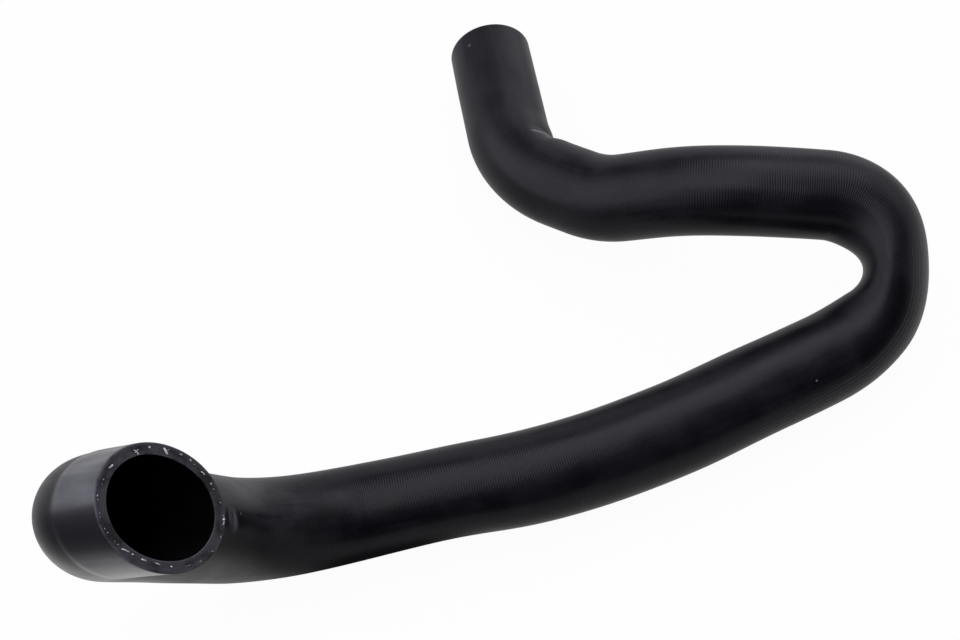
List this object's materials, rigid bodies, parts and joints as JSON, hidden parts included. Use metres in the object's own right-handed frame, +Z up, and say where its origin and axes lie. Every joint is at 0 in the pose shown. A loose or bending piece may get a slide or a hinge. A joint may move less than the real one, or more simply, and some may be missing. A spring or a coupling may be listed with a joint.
{
  "type": "turbo hose",
  "caption": "Black moulded rubber turbo hose with a hooked near end, a long bow, a flattened return bend and an elbow at the far end.",
  "frame": {"origin": "middle of the underside of the hose's box, on the table that it lies on", "axes": "+Z up from the table, +Y from the near mouth's end towards the far end, +X towards the return bend"},
  "size_m": [0.5144, 0.537, 0.2798],
  "materials": {
    "rubber": "satin moulded rubber with fine rings round it"
  },
  "bodies": {
    "root": {"hose": "rubber"}
  },
  "joints": []
}
